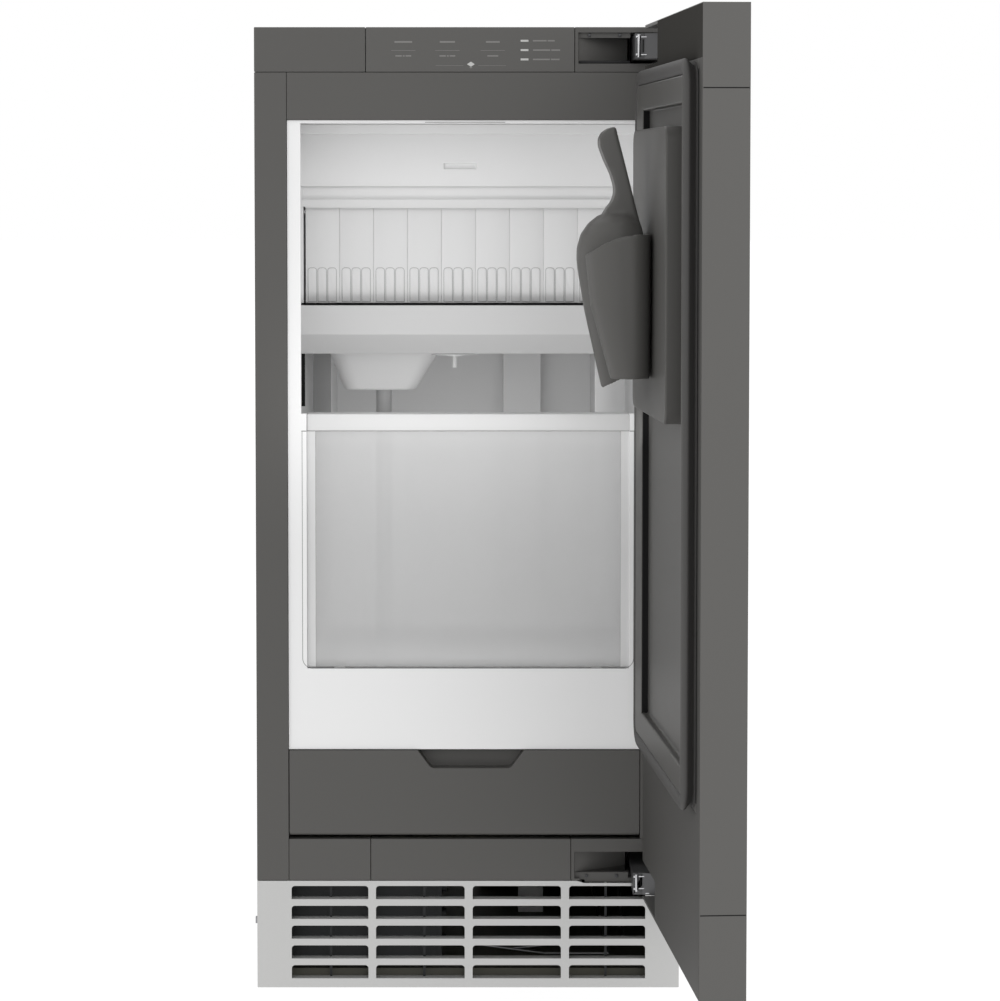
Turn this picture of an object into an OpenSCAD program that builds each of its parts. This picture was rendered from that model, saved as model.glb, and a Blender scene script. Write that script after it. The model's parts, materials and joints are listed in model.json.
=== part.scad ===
// Panel-ready undercounter ice maker with its door open.
// X is to the right, Y runs from the front frame into the cabinet, Z is up from the floor. Millimetres.

/* [Cabinet] */
// Width over the outer side sheets
cabinet_w = 378; // [376:1:382]
// Height from the floor to the top sheet
cabinet_h = 858; // [856:1:862]
// Depth from the front frame to the back sheet
cabinet_d = 560; // [556:1:580]
// Depth of the bars that make the front frame
frame_d = 22; // [20:1:24]
// Width of each upright of the front frame
stile_w = 28.5; // [28:0.5:30]
// Thickness of the outer sheet metal
sheet = 1.2; // [1:0.1:1.5]
// Height of the kick grille
kick_h = 96.6; // [90:0.1:97]

/* [Door] */
// Angle that the door stands open
door_angle = 93.8; // [0:0.1:109]
// Thickness of the door slab
door_t = 36.8; // [36:0.2:40]
// Gap between the slab and the front frame, filled by the gasket
door_gap = 12; // [12:0.5:13]
// Height of the upper end cap of the door
cap_h = 64.8; // [60:0.2:70]
// Height of the lower end cap of the door
low_cap_h = 67.3; // [60:0.1:70]

/* [Ice compartment] */
// Depth of the white liner
liner_d = 470; // [440:5:480]
// Depth of the ice bin
bin_d = 248; // [200:2:250]
// Width of the ice bin
bin_w = 285.6; // [280:0.2:286]
// Number of flaps in the ice curtain
flap_count = 9; // [9:1:9]
// Distance from one flap to the next
flap_pitch = 31; // [30.9:0.1:31]

/* [Machine compartment] */
// Radius of the compressor shell
compressor_r = 70; // [60:1:72]
// Radius of the condenser fan
fan_r = 47; // [40:1:48]
// Radius of the water filter cartridge
filter_r = 28; // [24:1:30]

/* [Hidden] */
$fn = 48;
half_w = cabinet_w / 2;
pan_z = 12;
low_bar_z = 97.1;
low_bar_top = 134.5;
flap_door_top = 214.5;
opening_bottom = 215.2;
opening_top = 776.2;
top_bar_z = 818.6;
opening_w = half_w - stile_w;
filter_edge = 153.4;
liner_w = 154;
inner_w = 153.7;
lip_w = 148.3;
liner_floor = 286;
liner_ceiling = 773.7;
door_hinge_x = 188;
door_free_x = -186;
door_bottom = 89;
door_top = cabinet_h - 0.2;
door_back = -door_gap;
door_front = -door_gap - door_t;
pivot = [183.4, -40.7];
cup_x = -2;
rod_y0 = 93;
rod_z0 = 694.5;
first_flap_x = -148.5;
fan_pos = [-100, 71];
filter_pos = [60, 176];
slot_z = 8.2;
slot_pitch = 17.95;
drain_pos = [-82.3, 275];
foot_x = 174;
foot_y = [40, 520];
sump_z = 565;

// ---------------------------------------------------------------- helpers

// A box between two corners
module box(x0, x1, y0, y1, z0, z1) {
    translate([x0, y0, z0]) cube([x1 - x0, y1 - y0, z1 - z0]);
}

module rod_x(r, x0, x1, y, z) {
    translate([x0, y, z]) rotate([0, 90, 0]) cylinder(r = r, h = x1 - x0);
}

module rod_y(r, x, y0, y1, z) {
    translate([x, y0, z]) rotate([-90, 0, 0]) cylinder(r = r, h = y1 - y0);
}

module rod_z(r, x, y, z0, z1) {
    translate([x, y, z0]) cylinder(r = r, h = z1 - z0);
}

// A rectangle with four rounded corners
module round_rect(x0, x1, z0, z1, r) {
    translate([x0 + r, z0]) square([x1 - x0 - 2 * r, z1 - z0]);
    translate([x0, z0 + r]) square([x1 - x0, z1 - z0 - 2 * r]);
    for (x = [x0 + r, x1 - r], z = [z0 + r, z1 - r])
        translate([x, z]) circle(r);
}

// Stands a drawing in X and Z up between two depths
module stand(y0, y1) {
    translate([0, y1, 0]) rotate([90, 0, 0]) linear_extrude(y1 - y0) children();
}

// Extrudes a drawing in Y and Z along X
module along_x(x0, x1) {
    translate([x0, 0, 0]) rotate([90, 0, 90]) linear_extrude(x1 - x0) children();
}

// Turns a piece that is drawn with the door shut to where the door stands open
module on_door() {
    translate([pivot.x, pivot.y, 0])
        rotate([0, 0, door_angle])
            translate([-pivot.x, -pivot.y, 0])
                children();
}

// Points on an arc
function arc(x, y, r, from, to, n = 8) =
    [for (i = [0:n]) [x + r * cos(from + (to - from) * i / n), y + r * sin(from + (to - from) * i / n)]];

// A front cover: a shallow plastic tray, open at the back
module cover(x0, x1, z0, z1) {
    difference() {
        box(x0, x1, 0, frame_d, z0, z1);
        box(x0 + 3, x1 - 3, 3, frame_d + 1, z0 + 3, z1 - 3);
    }
}

// ---------------------------------------------------------------- cabinet shell

module wrapper() {
    color([0.37, 0.36, 0.35])
        difference() {
            box(-half_w, half_w, frame_d, cabinet_d - sheet, pan_z + 2, cabinet_h);
            box(-half_w + sheet, half_w - sheet, frame_d - 1, cabinet_d, pan_z, cabinet_h - sheet);
            for (x = [-150, 150])
                rod_z(2.6, x, 80, cabinet_h - 5, cabinet_h + 1);
        }
}

module back_panel() {
    color([0.6, 0.6, 0.6])
        difference() {
            box(-half_w, half_w, cabinet_d - sheet, cabinet_d, pan_z + 2, cabinet_h);
            rod_y(19, -145, cabinet_d - 5, cabinet_d + 1, 111);
            rod_y(8.6, -70, cabinet_d - 5, cabinet_d + 1, 40);
            rod_y(13.4, 150, cabinet_d - 5, cabinet_d + 1, 60);
            for (i = [0:5])
                box(-20, 110, cabinet_d - 5, cabinet_d + 1, 60 + 18 * i, 68 + 18 * i);
        }
}

module base_pan() {
    color([0.55, 0.55, 0.55])
        difference() {
            union() {
                box(-half_w + 1.7, half_w - 1.7, 15, cabinet_d - 1.4, pan_z, pan_z + 2);
                box(-half_w + 1.7, half_w - 1.7, 15, 16.5, 3, pan_z + 1);
                for (x = [-foot_x, foot_x], y = foot_y)
                    rod_z(9, x, y, pan_z + 1, 24);
            }
            for (x = [-foot_x, foot_x], y = foot_y)
                rod_z(5.05, x, y, pan_z - 1, 25);
        }
}

module stile_left() {
    color([0.37, 0.365, 0.36])
        difference() {
            box(-half_w, -opening_w, 0, frame_d, low_bar_z, top_bar_z - 0.3);
            rod_x(2.55, -opening_w - 4, -opening_w + 1, 4.5, 142);
        }
}

// The right upright is wider beside the filter panel, so that the panel clears the open door
module stile_right() {
    color([0.37, 0.365, 0.36])
        difference() {
            union() {
                box(opening_w, half_w, 0, frame_d, low_bar_top + 0.3, top_bar_z - 0.3);
                box(filter_edge + 0.5, opening_w + 1, 0, frame_d, low_bar_top + 0.3, opening_bottom - 0.3);
            }
            rod_x(2.55, filter_edge, filter_edge + 4.6, 4.5, 142);
        }
}

module cross_rail() {
    color([0.37, 0.365, 0.36])
        box(-opening_w + 0.2, opening_w - 0.2, 0, frame_d, opening_top + 0.2, top_bar_z - 0.3);
}

module top_cover_left() {
    color([0.37, 0.365, 0.36]) cover(-half_w, -90.7, top_bar_z, cabinet_h);
}

module control_panel() {
    color([0.39, 0.385, 0.38]) cover(-90.3, 94.1, top_bar_z, cabinet_h);
}

// A cover with a pocket behind it that grows deeper towards the hinge arm, and a rail across its mouth
module hinge_pocket(x0, z0, z1, cave_z0, cave_z1, rail_z0, rail_z1) {
    difference() {
        union() {
            box(x0, half_w, 0, frame_d, z0, z1);
            box(x0, half_w - sheet - 0.4, frame_d - 1, 68, z0, z1 - 1.6);
        }
        translate([0, 0, cave_z0])
            linear_extrude(cave_z1 - cave_z0)
                polygon([[x0 + 3, -1], [x0 + 3, 4], [142, 36], [145, 64],
                    [half_w - 3, 64], [half_w - 3, -1]]);
    }
    box(x0 + 2, 143.5, 3.5, 9, rail_z0, rail_z1);
}

module hinge_pocket_upper() {
    color([0.33, 0.325, 0.32])
        hinge_pocket(94.5, top_bar_z, cabinet_h, 825.9, 853.2, 848.6, 854);
}

module lower_cover_left() {
    color([0.37, 0.365, 0.36]) cover(-opening_w + 0.2, -87.4, low_bar_z, low_bar_top);
}

module lower_cover_centre() {
    color([0.37, 0.365, 0.36]) cover(-87, 91.8, low_bar_z, low_bar_top);
}

// The lower pocket's lip is cut back and reaches down into the notch in the grille
module hinge_pocket_lower() {
    color([0.33, 0.325, 0.32]) {
        difference() {
            hinge_pocket(92.2, low_bar_z, low_bar_top, 98.8, 122.9, 98, 103.8);
            box(100, 176, -1, 3.5, 94, 103.9);
        }
        box(104.5, 176, 3.5, frame_d, 94.9, 98.8);
    }
}

// One slot of the kick grille, with rounded upper corners
module slot(x0, x1, z0) {
    slot_h = 12;
    r = 3;
    translate([x0, z0]) square([x1 - x0, slot_h - r]);
    translate([x0 + r, z0]) square([x1 - x0 - 2 * r, slot_h]);
    for (x = [x0 + r, x1 - r])
        translate([x, z0 + slot_h - r]) circle(r, $fn = 24);
}

// A folded sheet with slots, a shelf behind each row of them and three upright stays;
// its upper edge is notched under the lower hinge pocket
module grille() {
    columns = [[-158.2, -89.4], [-82.6, -3.1], [4, 83.2], [90.4, 158.8]];
    color([0.72, 0.72, 0.71])
        difference() {
            union() {
                box(-half_w, half_w, 0, 1.5, 0, kick_h);
                box(-half_w, half_w, 0, 12, kick_h - 1.5, kick_h);
                box(-half_w, half_w, 0, 12, 0, 1.5);
                for (x = [-half_w, half_w - 1.5])
                    box(x, x + 1.5, 0, 21.6, 0, kick_h);
                for (row = [0:4])
                    box(-165, 165, 1, 12, slot_z + slot_pitch * row - 1.2, slot_z + slot_pitch * row);
                for (x = [-123.3, -39.4, 123.5])
                    box(x - 0.9, x + 0.9, 9, 11, 1, kick_h - 1);
            }
            stand(-1, 2)
                for (c = columns, row = [0:4])
                    slot(c[0], c[1], slot_z + slot_pitch * row);
            rod_x(2.1, -half_w - 1, half_w + 1, 7, 60);
            stand(-1, 13)
                polygon([[97.4, kick_h + 1], [97.4, kick_h], [103.6, 94.6],
                    [177, 94.6], [183.2, kick_h], [183.2, kick_h + 1]]);
        }
}

module fasteners() {
    color([0.75, 0.75, 0.75])
        for (m = [0, 1])
            mirror([m, 0, 0]) {
                rod_x(3.3, half_w, half_w + 1.8, 7, 60);
                rod_x(1.9, half_w - 8, half_w + 0.5, 7, 60);
            }
}

// ---------------------------------------------------------------- ice compartment

module liner() {
    color([0.9, 0.9, 0.9])
        difference() {
            union() {
                difference() {
                    union() {
                        box(-liner_w - 2.5, liner_w + 2.5, 4, liner_d + 2.5,
                            liner_floor - 2.5, opening_top);
                        box(-opening_w + 0.2, opening_w - 0.2, 2, 5, opening_bottom, opening_top);
                    }
                    box(-liner_w, liner_w, 5, liner_d, liner_floor, liner_ceiling);
                    box(-lip_w, lip_w, 1, 6, 288, liner_ceiling);
                }
                box(-liner_w - 1, -136, 334, liner_d + 1, liner_floor - 1, liner_ceiling + 1);
                box(124.7, liner_w + 1, 334, liner_d + 1, liner_floor - 1, liner_ceiling + 1);
                box(35, 73, liner_d - 25, liner_d + 1, liner_floor - 1, liner_ceiling + 1);
                for (x = [-liner_w - 1, bin_w / 2 + 0.8])
                    box(x, x < 0 ? -bin_w / 2 - 0.8 : liner_w + 1, 2, 12, liner_floor - 1, 516);
                for (x = [-120, 110])
                    box(x, x + 10, 12, 250, liner_floor - 1, 288.7);
            }
            rod_z(7.8, drain_pos.x, drain_pos.y, liner_floor - 5, liner_floor + 5);
        }
}

module insulation() {
    color([0.9, 0.85, 0.65])
        difference() {
            box(-half_w + 1.6, half_w - 1.6, frame_d + 0.4, liner_d + 75, 219, cabinet_h - 1.6);
            box(-liner_w - 2.7, liner_w + 2.7, 0, liner_d + 2.7, liner_floor - 2.7, opening_top + 0.2);
            box(94, half_w, 0, 68.4, top_bar_z - 0.3, cabinet_h);
            rod_z(9, drain_pos.x, drain_pos.y, 200, 300);
        }
}

module evaporator_cover() {
    color([0.87, 0.87, 0.87])
        difference() {
            union() {
                box(-inner_w, inner_w, 60, 86, 765, liner_ceiling - 0.1);
                box(-inner_w, inner_w, 82, 86, 717.6, 766);
            }
            box(-22, 7, 81, 84.5, 733.6, 738.6);
        }
}

module curtain_rail() {
    color([0.87, 0.87, 0.87]) {
        box(-inner_w, inner_w, 84, 99, 699.3, 701.5);
        box(-inner_w, inner_w, 84, 92, 699.3, 705.7);
        box(-inner_w, inner_w, 96, 99, 699.3, 717.4);
        for (x = [-inner_w, inner_w - 3.4])
            box(x, x + 3.4, 86, 140, 611.5, 717.4);
        box(131.3, 151, 88, 92, 612, 700);
        rod_x(1.5, -150, 150, rod_y0, rod_z0);
    }
}

// One flap of the ice curtain: a barrel on the rod, a thin blade and three ribs near its lower edge
module flap(i) {
    x0 = first_flap_x + flap_pitch * (i - 1) + 0.3;
    w = flap_pitch - 0.6;
    color([0.88, 0.88, 0.88])
        difference() {
            union() {
                box(x0, x0 + w, rod_y0 - 3.3, rod_y0 - 1.3, 611.5, rod_z0);
                rod_x(3.3, x0, x0 + w, rod_y0, rod_z0);
                for (k = [0:2])
                    box(x0 + 2.6 + 9 * k, x0 + 9.4 + 9 * k, rod_y0 - 4.5, rod_y0 - 3, 614, 644);
            }
            rod_x(1.55, x0 - 1, x0 + w + 1, rod_y0, rod_z0);
        }
}

module flap_1() flap(1);
module flap_2() flap(2);
module flap_3() flap(3);
module flap_4() flap(4);
module flap_5() flap(5);
module flap_6() flap(6);
module flap_7() flap(7);
module flap_8() flap(8);
module flap_9() flap(9);

module evaporator() {
    color([0.8, 0.5, 0.35]) {
        box(-144, 144, 118, 322, 735, 738);
        for (i = [0:8], k = [0:5])
            box(-138 + 31 * i, -112 + 31 * i, 126 + 33 * k, 150 + 33 * k, 708, 736);
        for (k = [0:5])
            rod_x(4.8, -140, 140, 138 + 33 * k, 741);
    }
}

module spray_bar() {
    color([0.8, 0.8, 0.8]) {
        rod_x(9, -140, 140, 220, 640);
        for (i = [0:8])
            rod_z(2.5, -120 + 30 * i, 220, 645, 660);
        for (x = [-136, 136])
            box(x - 4, x + 4, 216, 224, sump_z + 2.5, 635);
    }
}

module trough() {
    color([0.8, 0.8, 0.8])
        difference() {
            union() {
                along_x(-inner_w, inner_w)
                    polygon([[72, 609.7], [72, 583.2], [90, sump_z], [330, sump_z], [330, 609.7]]);
                for (x = [-liner_w + 0.1, liner_w - 5.1])
                    box(x, x + 5, 300, 322, 590, 606);
            }
            along_x(-inner_w + 2.5, inner_w - 2.5)
                polygon([[74.5, 611], [74.5, 584.3], [91, sump_z + 2.5],
                    [327.5, sump_z + 2.5], [327.5, 611]]);
            box(-126, -31, 124, 296, sump_z - 1, sump_z + 3);
        }
}

// A rounded rectangle in plan, thin, as one end of the tapered basin
module basin_ring(x0, x1, y0, y1, z, r) {
    translate([0, 0, z])
        linear_extrude(0.1)
            round_rect(x0, x1, y0, y1, r, $fn = 32);
}

module sump_basin() {
    color([0.8, 0.8, 0.8])
        difference() {
            union() {
                hull() {
                    basin_ring(-129.5, -27, 120, 300, sump_z - 0.1, 20);
                    basin_ring(-115, -49, 130, 290, 529, 14);
                }
                rod_z(10, drain_pos.x, drain_pos.y, 521, 530);
                rod_z(13, drain_pos.x, drain_pos.y, 523, 526);
            }
            hull() {
                basin_ring(-127, -29.5, 122.5, 297.5, sump_z, 18);
                basin_ring(-112.5, -51.5, 132.5, 287.5, 531.5, 12);
            }
            rod_z(7.55, drain_pos.x, drain_pos.y, 520, 535);
        }
}

module drain_nozzle() {
    color([0.8, 0.8, 0.8]) {
        rod_z(21.5, -12.5, 112.5, sump_z - 1.8, sump_z);
        rod_z(6, -12.5, 112.5, sump_z - 3.5, sump_z - 1);
        rod_z(2.1, -12.5, 112.5, 551, sump_z - 1);
    }
}

module drain_tube() {
    color([0.8, 0.8, 0.8])
        difference() {
            rod_z(7.5, drain_pos.x, drain_pos.y, 96, 530);
            rod_z(5.5, drain_pos.x, drain_pos.y, 95, 531);
        }
}

module bin_rim() {
    color([0.92, 0.92, 0.92])
        box(-bin_w / 2, bin_w / 2, 4, 28, 500.6, 515.6);
}

// The outline of the bin's front: square at the top, round at the lower corners
module bin_outline(inset, r) {
    x = bin_w / 2 - inset;
    z0 = 289 + inset;
    translate([-x, z0 + r]) square([2 * x, 500.6 - z0 - r]);
    translate([-x + r, z0]) square([2 * x - 2 * r, r + 1]);
    for (s = [-1, 1])
        translate([s * (x - r), z0 + r]) circle(r);
}

module bin_window() {
    color([0.7, 0.7, 0.7, 0.5]) stand(6, 8.5) bin_outline(0, 9);
}

// The rest of the bin, whose walls end a little lower behind the rim
module bin_tub() {
    color([0.75, 0.75, 0.75, 0.5])
        difference() {
            stand(8.5, 4 + bin_d) bin_outline(0, 9);
            stand(7, 1.5 + bin_d) bin_outline(2.5, 7);
            box(-bin_w / 2 + 2.5, bin_w / 2 - 2.5, 7, 1.5 + bin_d, 320, 502);
            box(-bin_w, bin_w, 28.5, 10 + bin_d, 499, 502);
        }
}

// ---------------------------------------------------------------- machine compartment

module compressor() {
    color([0.12, 0.12, 0.12]) {
        rod_z(compressor_r, 85, 430, 34, 176);
        rod_z(compressor_r - 8, 85, 430, 175, 188);
        rod_z(compressor_r - 26, 85, 430, 187, 196);
        box(10, 160, 370, 490, 24, 30);
        for (x = [20, 150], y = [380, 480])
            rod_z(9, x, y, pan_z + 2, 25);
        rod_z(40, 85, 430, 29, 35);
        box(140, 168, 415, 445, 90, 140);
    }
}

module condenser() {
    color([0.25, 0.25, 0.25]) {
        box(-158, -28, 30, 57, 20, 122);
        for (x = [-161, -28])
            box(x, x + 4, 28, 58, pan_z + 2, 126);
        for (row = [0:3])
            rod_x(4.5, -164, -20, 44, 34 + 24 * row);
    }
}

module fan_shroud() {
    color([0.15, 0.15, 0.15])
        difference() {
            union() {
                box(-161, -24, 58.2, 61, pan_z + 2, 126);
                rod_y(fan_r + 5, fan_pos.x, 60, 84, fan_pos.y);
            }
            rod_y(fan_r + 3, fan_pos.x, 50, 90, fan_pos.y);
        }
}

module fan_blade() {
    color([0.2, 0.2, 0.2]) {
        rod_y(14, fan_pos.x, 64, 84, fan_pos.y);
        rod_y(3, fan_pos.x, 80, 100, fan_pos.y);
        for (k = [0:4])
            translate([fan_pos.x, 74, fan_pos.y])
                rotate([0, 72 * k, 0])
                    rotate([0, 0, 32])
                        translate([-11, -0.8, 10])
                            cube([22, 1.6, fan_r - 13]);
    }
}

module fan_motor() {
    color([0.5, 0.5, 0.5])
        difference() {
            union() {
                rod_y(22, fan_pos.x, 88, 122, fan_pos.y);
                box(fan_pos.x - 8, fan_pos.x + 8, 92, 118, pan_z + 2, fan_pos.y);
            }
            rod_y(3.05, fan_pos.x, 80, 102, fan_pos.y);
        }
}

module water_valve() {
    color([0.85, 0.85, 0.8]) {
        box(-162, -125, 500, 545, 96, 126);
        rod_y(13.2, -145, 544, 576, 111);
        rod_z(14, -145, 518, 125, 160);
        box(-152, -138, 505, 525, pan_z + 2, 97);
    }
}

module drain_pump() {
    color([0.3, 0.3, 0.32])
        difference() {
            union() {
                box(-110, -56, 250, 302, pan_z + 2, 84);
                rod_z(11, drain_pos.x, drain_pos.y, 80, 108);
                rod_y(10, -70, 300, 541, 40);
                rod_y(8, -70, 540, 580, 40);
            }
            rod_z(7.55, drain_pos.x, drain_pos.y, 95, 110);
        }
}

module filter_head() {
    color([0.85, 0.85, 0.85])
        difference() {
            union() {
                rod_y(filter_r + 2, filter_pos.x, 234, 275, filter_pos.y);
                box(filter_pos.x - 12, filter_pos.x + 12, 246, 266, pan_z + 2, filter_pos.y);
            }
            rod_y(14.05, filter_pos.x, 230, 249, filter_pos.y);
        }
}

module filter_cartridge() {
    color([0.95, 0.95, 0.95]) {
        rod_y(filter_r, filter_pos.x, 26, 230, filter_pos.y);
        rod_y(14, filter_pos.x, 229, 247, filter_pos.y);
        box(filter_pos.x - 4, filter_pos.x + 4, 18, 27, filter_pos.y - 24, filter_pos.y + 24);
    }
}

module control_box() {
    color([0.6, 0.6, 0.62]) {
        box(-170, -98, 150, 330, 140, 205);
        for (y = [170, 310])
            box(-165, -155, y - 5, y + 5, pan_z + 2, 141);
    }
}

module power_inlet() {
    color([0.2, 0.2, 0.2])
        difference() {
            union() {
                box(125, 162, 505, 545, pan_z + 2, 86);
                rod_y(13, 150, 544, 572, 60);
            }
            rod_y(5.2, 150, 530, 573, 60);
        }
}

// The tilting panel under the ice compartment, with its finger notch and hinge pins
module filter_door() {
    x0 = -opening_w + 0.6;
    notch = concat(
        [[-45.7, flap_door_top + 1], [-44.9, flap_door_top]],
        arc(-30, 204.5, 6, 210, 270),
        arc(35, 204.5, 6, 270, 330),
        [[49.9, flap_door_top], [50.7, flap_door_top + 1]]);
    color([0.37, 0.365, 0.36])
        difference() {
            union() {
                box(x0, filter_edge, 0, 9, 142, flap_door_top);
                rod_x(4.5, x0, filter_edge, 4.5, 142);
                rod_x(2.5, -opening_w - 3.5, filter_edge + 4.2, 4.5, 142);
                box(-50, 55, 8, 16, 190, 213);
            }
            stand(-1, 13.5) polygon(notch);
        }
}

module foot(x, y) {
    color([0.6, 0.6, 0.6]) {
        rod_z(14, x, y, 0, 5);
        rod_z(8.5, x, y, 4, 9, $fn = 6);
        rod_z(5, x, y, 8, 38);
    }
}

module foot_front_left() foot(-foot_x, foot_y[0]);
module foot_front_right() foot(foot_x, foot_y[0]);
module foot_rear_left() foot(-foot_x, foot_y[1]);
module foot_rear_right() foot(foot_x, foot_y[1]);

// ---------------------------------------------------------------- hinges

// A steel gooseneck arm from a cabinet pocket to the door's pin
module hinge_arm(z0, z1, front_z0) {
    difference() {
        union() {
            box(146, 166, -8, 64, z0, z1);
            box(146, 166, -34, -2, front_z0, z1);
            translate([156, -30, front_z0])
                rotate([0, 0, atan2(pivot.y + 30, pivot.x - 156)])
                    translate([0, -4.5, 0])
                        cube([28, 9, z1 - front_z0]);
            rod_z(5.5, pivot.x, pivot.y, front_z0, z1);
        }
        rod_z(2.55, pivot.x, pivot.y, front_z0 - 1, z1 + 1);
    }
}

module hinge_arms() {
    color([0.7, 0.7, 0.7]) {
        hinge_arm(829, 851, 829);
        hinge_arm(99.6, 111, 91.6);
    }
}

// The door's half of a hinge: a strap screwed into the notch and the pin
module door_hinge(z0, z1, pin_z0, pin_z1) {
    box(100, 170, door_front + 1, door_front + 3, z0 + 0.5, z1 - 0.5);
    rod_z(2.5, pivot.x, pivot.y, pin_z0, pin_z1);
}

module door_hinges() {
    color([0.75, 0.75, 0.75])
        on_door() {
            door_hinge(822.5, 855, 818, 856.5);
            door_hinge(91.2, 123, 90, 127);
        }
}

// ---------------------------------------------------------------- door

module door_panel() {
    color([0.42, 0.41, 0.4])
        on_door()
            difference() {
                box(door_free_x, door_hinge_x, door_front, door_back,
                    door_bottom + low_cap_h + 0.1, door_top - cap_h - 0.1);
                for (x = [-150, 150], z = [200, 750])
                    rod_y(1.6, x, door_front - 1, door_front + 14, z);
            }
}

module door_end_caps() {
    color([0.42, 0.41, 0.4])
        on_door() {
            difference() {
                box(door_free_x, door_hinge_x, door_front, door_back, door_top - cap_h, door_top);
                box(98, 190, door_front + 1, door_back + 1, 822.5, 855);
                rod_z(2.55, pivot.x, pivot.y, 817.5, 856.8);
            }
            difference() {
                box(door_free_x, door_hinge_x, door_front, door_back, door_bottom, door_bottom + low_cap_h);
                box(98, 190, door_front + 1, door_back + 1, 91.2, 123);
                rod_z(2.55, pivot.x, pivot.y, 89.6, 127.5);
            }
        }
}

module gasket() {
    color([0.3, 0.3, 0.29])
        on_door()
            difference() {
                stand(door_back, -0.4) round_rect(-167, 169, 231, 817, 22);
                stand(door_back - 1, 1) round_rect(-154, 156, 244, 804, 9);
            }
}

module door_liner() {
    color([0.33, 0.325, 0.32])
        on_door() {
            difference() {
                stand(door_back, -1) round_rect(-153.8, 155.8, 244.2, 803.8, 9);
                box(-147, 110, door_back + 5, 1, 267, 782);
            }
            stand(door_back + 4, 8) round_rect(-122, 104, 531, 765, 12);
        }
}

// ---------------------------------------------------------------- scoop and its holder

// The holder in plan at one level: tight corners at the door, wide ones at the far side
module cup_level(z, back, reach, half, r, back_r) {
    translate([cup_x, door_back, z])
        linear_extrude(0.1)
            for (s = [-1, 1]) {
                translate([s * (half - r), reach - r]) circle(r, $fn = 40);
                translate([s * (half - back_r), back + back_r]) circle(back_r, $fn = 40);
            }
}

// Two curved cheeks with ribs that carry the scoop's bowl between them, open below and at the
// far side, with a rim that falls away from the door in an arc
module scoop_holder() {
    rim_z = 679.5;
    rim_r = 64;
    color([0.4, 0.395, 0.385])
        on_door() {
            difference() {
                intersection() {
                    hull() {
                        cup_level(562.5, 21.5, 53, 44, 15, 15);
                        cup_level(622, 21.5, 69.5, 48, 23, 16);
                        cup_level(690, 21.5, 76.5, 50, 27, 17);
                    }
                    along_x(cup_x - 70, cup_x + 70)
                        polygon(concat(
                            [[door_back + 15, 550], [door_back + 15, rim_z]],
                            arc(door_back + 30, rim_z - rim_r, rim_r, 90, 30, 12),
                            [[door_back + 90, 620], [door_back + 90, 550]]));
                }
                hull() {
                    cup_level(555, 24, 48.6, 41.5, 12.2, 12.2);
                    cup_level(621, 24, 67, 45.6, 20.6, 13.6);
                    cup_level(695, 24, 74.6, 47.8, 24.6, 14.6);
                }
                box(cup_x - 24, cup_x + 24, door_back + 45, door_back + 90, 550, 700);
            }
            box(cup_x - 26, cup_x + 26, door_back + 20, door_back + 22, 570, 670);
            for (s = [-1, 1])
                translate([cup_x + s * 36.7, door_back + 46, 618])
                    cube([18.8, 6, 12], center = true);
        }
}

// A flat disc of the scoop's bowl
module bowl_disc(reach, r, z) {
    translate([cup_x, door_back + reach - r, z]) cylinder(r = r, h = 1, $fn = 40);
}

// The bowl's outer form, or the form of its hollow when it is inset by the wall
module bowl(inset) {
    hull() {
        bowl_disc(57.6 - inset, 14 - inset, 553.4 + inset);
        bowl_disc(63.4 - inset, 19 - inset, 579);
        bowl_disc(71.9 - inset, 26 - inset, 617);
        bowl_disc(76.4 - inset, 30 - inset, 644);
        bowl_disc(78.3 - inset, 32 - inset, 658);
        bowl_disc(78.1 - inset, 32 - inset, 667 - inset);
        bowl_disc(74.9 - inset, 29 - inset, 678 - inset);
        bowl_disc(68.7 - inset, 23 - inset, 687 - inset);
        bowl_disc(60.3 - inset, 15 - inset, 693.6 - inset);
    }
}

module scoop() {
    handle = [
        [47.4, 766.8], [53.5, 764.6], [58, 761.3], [60.4, 756.2], [60, 750], [55.7, 738.7],
        [50.4, 727.3], [47.8, 718], [47.6, 712], [49.6, 705.9], [54.3, 699.9], [58, 693],
        [58, 684], [26.2, 684]];
    color([0.4, 0.395, 0.385])
        on_door()
            difference() {
                union() {
                    bowl(0);
                    translate([0, door_back, 0])
                        along_x(cup_x - 12, cup_x + 12)
                            polygon(handle);
                }
                bowl(2.2);
                translate([cup_x - 60, door_back + 25.4, 679])
                    rotate([8.2, 0, 0])
                        translate([0, -60, -160])
                            cube([120, 60, 185]);
                translate([cup_x - 60, door_back + 26.05, 684])
                    rotate([-14.36, 0, 0])
                        translate([0, -20, -6])
                            cube([120, 20, 60]);
                translate([cup_x - 60, door_back + 57.4, 553.2])
                    rotate([-28, 0, 0])
                        translate([0, -40, -20])
                            cube([120, 40, 20]);
            }
}

wrapper();
back_panel();
base_pan();
stile_left();
stile_right();
cross_rail();
top_cover_left();
control_panel();
hinge_pocket_upper();
lower_cover_left();
lower_cover_centre();
hinge_pocket_lower();
grille();
fasteners();
liner();
insulation();
evaporator_cover();
curtain_rail();
evaporator();
spray_bar();
trough();
sump_basin();
drain_nozzle();
drain_tube();
compressor();
condenser();
fan_shroud();
fan_motor();
water_valve();
drain_pump();
filter_head();
control_box();
power_inlet();
hinge_arms();
bin_rim();
bin_tub();
bin_window();
fan_blade();
filter_cartridge();
filter_door();
flap_1();
flap_2();
flap_3();
flap_4();
flap_5();
flap_6();
flap_7();
flap_8();
flap_9();
foot_front_left();
foot_front_right();
foot_rear_left();
foot_rear_right();
door_panel();
door_end_caps();
door_liner();
gasket();
door_hinges();
scoop_holder();
scoop();
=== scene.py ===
"""A panel-ready undercounter ice maker with its door open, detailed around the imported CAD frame."""

import json
import math

import bmesh
import bpy
from mathutils import Matrix, Vector

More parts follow.
